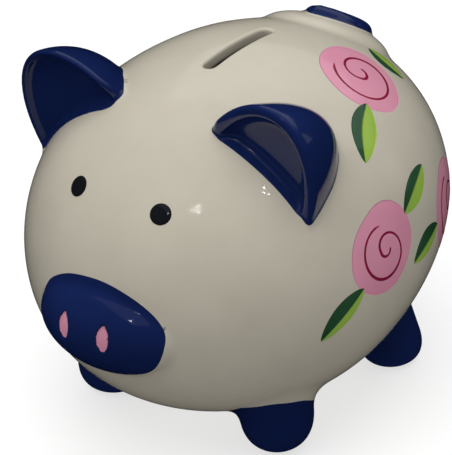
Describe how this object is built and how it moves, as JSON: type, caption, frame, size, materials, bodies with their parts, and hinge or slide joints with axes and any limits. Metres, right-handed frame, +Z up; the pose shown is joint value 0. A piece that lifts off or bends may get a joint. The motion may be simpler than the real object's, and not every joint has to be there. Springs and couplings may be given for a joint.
{
  "type": "piggy bank",
  "caption": "Hollow glazed ceramic pig with a coin slot along its back and a pull-out stopper in its belly.",
  "frame": {"origin": "on the surface the pig stands on, below the middle of its bounding box", "axes": "+Z up; the snout points along -Y and the tail along +Y; +X is the pig's left side"},
  "size_m": [0.15, 0.1779, 0.1411],
  "materials": {
    "cream_glaze": "glossy clear glaze over a warm cream body",
    "cobalt_glaze": "glossy cobalt blue glaze",
    "pink_glaze": "pink underglaze paint under clear gloss",
    "black_glaze": "glossy black glaze",
    "rose_line_glaze": "crimson brush line under clear gloss",
    "leaf_dark_glaze": "dark green underglaze under clear gloss",
    "leaf_light_glaze": "light green underglaze under clear gloss",
    "stopper_rubber": "matt black moulded rubber"
  },
  "bodies": {
    "bank": {"body_shell": "cream_glaze", "snout": "cobalt_glaze", "nostril_left": "pink_glaze", "nostril_right": "pink_glaze", "eye_left": "black_glaze", "eye_right": "black_glaze", "ear_left": "cobalt_glaze", "ear_right": "cobalt_glaze", "foot_front_left": "cobalt_glaze", "foot_front_right": "cobalt_glaze", "foot_rear_left": "cobalt_glaze", "foot_rear_right": "cobalt_glaze", "tail": "cobalt_glaze"},
    "stopper": {"stopper": "stopper_rubber"}
  },
  "joints": [
    {"name": "stopper_pull", "type": "slide", "parent": "bank", "child": "stopper", "axis": [0, 0, -1], "range_m": [0, 0.03]}
  ]
}
